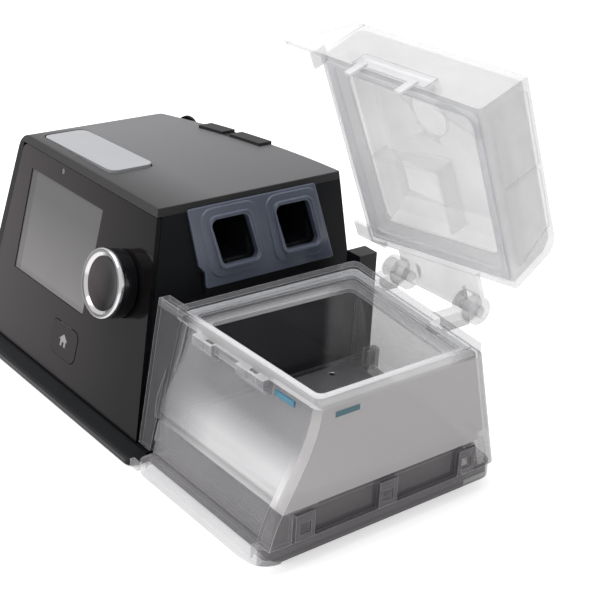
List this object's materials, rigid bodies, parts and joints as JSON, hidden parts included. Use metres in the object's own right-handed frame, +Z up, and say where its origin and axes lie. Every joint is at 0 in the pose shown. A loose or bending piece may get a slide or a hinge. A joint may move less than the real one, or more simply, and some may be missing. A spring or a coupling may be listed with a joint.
{
  "type": "bedside air machine with heated water tank",
  "caption": "Bedside breathing-air machine with leaning display panel, push-and-turn dial, top start button and a docked clear water tank with a hinged, latching lid.",
  "frame": {"origin": "on the table, under the middle of the machine's base pan", "axes": "+X towards the tank side, -Y is the front with the display, +Z up"},
  "size_m": [0.2741, 0.1579, 0.1916],
  "materials": {
    "black_shell": "fine satin black",
    "base_black": "satin black",
    "cover_grey": "fine textured matte grey",
    "panel_gloss": "piano gloss dark brown black",
    "screen_glass": "grey display window, unlit",
    "display_dark": "dark display",
    "sensor_black": "dark lens",
    "button_gloss": "gloss dark brown",
    "button_grey": "silver grey paint",
    "knob_black": "black",
    "knob_chrome": "polished ring",
    "knob_face": "dished gloss",
    "steel": "turned steel",
    "board_green": "solder mask",
    "silicone": "blue grey silicone",
    "duct_black": "black",
    "inner_grey": "dark grey moulding",
    "motor_metal": "satin",
    "impeller_white": "light nylon",
    "foam_grey": "foam block",
    "filter_white": "pleated paper",
    "heater_metal": "hard anodised",
    "pad_brown": "film heater",
    "foot_rubber": "soft rubber",
    "tank_clear": "lightly frosted clear plastic",
    "tank_base_clear": "clear plastic",
    "plate_metal": "stamped stainless",
    "gasket_grey": "soft silicone",
    "mark_blue": "printed blue",
    "mark_teal": "printed dark teal",
    "lid_clear": "frosted clear plastic",
    "latch_clear": "frosted clear plastic"
  },
  "bodies": {
    "machine": {"base_pan": "base_black", "main_shell": "black_shell", "top_cover": "cover_grey", "front_panel": "panel_gloss", "screen_lens": "screen_glass", "display_module": "display_dark", "light_sensor": "sensor_black", "home_switch": "steel", "start_button_pin": "steel", "encoder_body": "inner_grey", "main_board": "board_green", "port_seal": "silicone", "duct_box": "duct_black", "blower_housing": "inner_grey", "blower_motor": "motor_metal", "silencer_block": "foam_grey", "outlet_cup": "duct_black", "air_outlet": "duct_black", "power_inlet": "duct_black", "filter_pin": "steel", "air_filter": "filter_white", "card_slot": "inner_grey", "card_door_pin": "steel", "heater_pad": "pad_brown", "foot_1": "foot_rubber", "foot_2": "foot_rubber", "foot_3": "foot_rubber", "foot_4": "foot_rubber", "base_screw_1": "steel", "base_screw_2": "steel", "base_screw_3": "steel", "base_screw_4": "steel"},
    "home_key": {"home_button": "button_gloss"},
    "start_key": {"start_button": "button_grey"},
    "dial_press": {"encoder_sleeve": "steel"},
    "dial": {"knob_body": "knob_black", "knob_ring": "knob_chrome", "knob_face": "knob_face", "encoder_shaft": "steel"},
    "fan": {"impeller": "impeller_white"},
    "filter_flap": {"filter_cover": "black_shell"},
    "card_flap": {"card_door": "black_shell"},
    "heater": {"heater_plate": "heater_metal"},
    "tank": {"tank_tub": "tank_clear", "tank_base": "tank_base_clear", "tank_plate": "plate_metal", "rim_gasket": "gasket_grey", "level_mark_front": "mark_blue", "level_mark_side": "mark_teal", "hinge_pin_left": "latch_clear", "hinge_pin_right": "latch_clear"},
    "lid": {"lid_shell": "lid_clear", "lid_inner": "lid_clear", "lid_gasket": "gasket_grey", "latch_pin": "steel"},
    "latch": {"lid_latch": "latch_clear"}
  },
  "joints": [
    {"name": "home_press", "type": "slide", "parent": "machine", "child": "home_key", "axis": [0, 0.9726, -0.2324], "range_m": [0, 0.001], "stiffness_N_per_m": 900},
    {"name": "dial_push", "type": "slide", "parent": "machine", "child": "dial_press", "axis": [0, 0.9726, -0.2324], "range_m": [0, 0.0006], "stiffness_N_per_m": 1500},
    {"name": "dial_turn", "type": "hinge", "parent": "dial_press", "child": "dial", "pos_m": [-0.0143, -0.04745, 0.06925], "axis": [0, -0.9726, 0.2324], "continuous": true},
    {"name": "start_press", "type": "hinge", "parent": "machine", "child": "start_key", "pos_m": [-0.1136, -0.0194, 0.1066], "axis": [0, 1, 0], "range_deg": [0, 1], "stiffness_Nm_per_rad": 6, "springref_deg": -0.57},
    {"name": "fan_spin", "type": "hinge", "parent": "machine", "child": "fan", "pos_m": [-0.074, 0.01, 0.082], "axis": [0, 0, 1], "continuous": true},
    {"name": "filter_open", "type": "hinge", "parent": "machine", "child": "filter_flap", "pos_m": [-0.10762, 0.04925, 0.069], "axis": [-0.948, -0.3184, 0], "range_deg": [0, 60]},
    {"name": "card_open", "type": "hinge", "parent": "machine", "child": "card_flap", "pos_m": [-0.13464, -0.008, 0.0353], "axis": [0, -1, 0], "range_deg": [0, 90]},
    {"name": "heater_sink", "type": "slide", "parent": "machine", "child": "heater", "axis": [0, 0, -1], "range_m": [0, 0.0008], "stiffness_N_per_m": 4000, "springref_m": -0.0004},
    {"name": "tank_slide", "type": "slide", "parent": "machine", "child": "tank", "axis": [1, 0, 0], "range_m": [0, 0.06]},
    {"name": "lid_hinge", "type": "hinge", "parent": "tank", "child": "lid", "pos_m": [0.08, 0.0655, 0.0755], "axis": [-1, 0, 0], "range_deg": [-68.3, 8]},
    {"name": "latch_rock", "type": "hinge", "parent": "lid", "child": "latch", "pos_m": [0.079, 0.03035, 0.18087], "axis": [1, 0, 0], "range_deg": [-5, 0], "stiffness_Nm_per_rad": 0.3}
  ]
}
